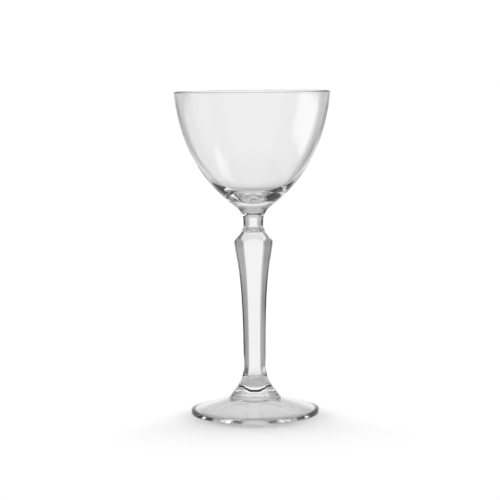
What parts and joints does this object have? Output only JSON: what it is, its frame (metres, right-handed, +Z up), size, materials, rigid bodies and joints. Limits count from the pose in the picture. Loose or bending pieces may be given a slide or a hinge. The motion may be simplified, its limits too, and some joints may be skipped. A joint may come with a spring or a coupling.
{
  "type": "nick and nora glass",
  "caption": "Clear stemmed cocktail glass with a deep curved bowl, a faceted tapering stem with a shoulder, and a round sloping foot; holds a small drink served up.",
  "frame": {"origin": "on the table, on the glass's upright axis, at the centre of the foot's contact ring", "axes": "+Z up along the glass's axis; a flat facet of the stem faces -Y, towards the viewer"},
  "size_m": [0.0782, 0.0782, 0.1625],
  "materials": {
    "clear_glass": "polished clear colourless soda-lime glass"
  },
  "bodies": {
    "root": {"bowl": "clear_glass", "stem": "clear_glass", "foot": "clear_glass"}
  },
  "joints": []
}
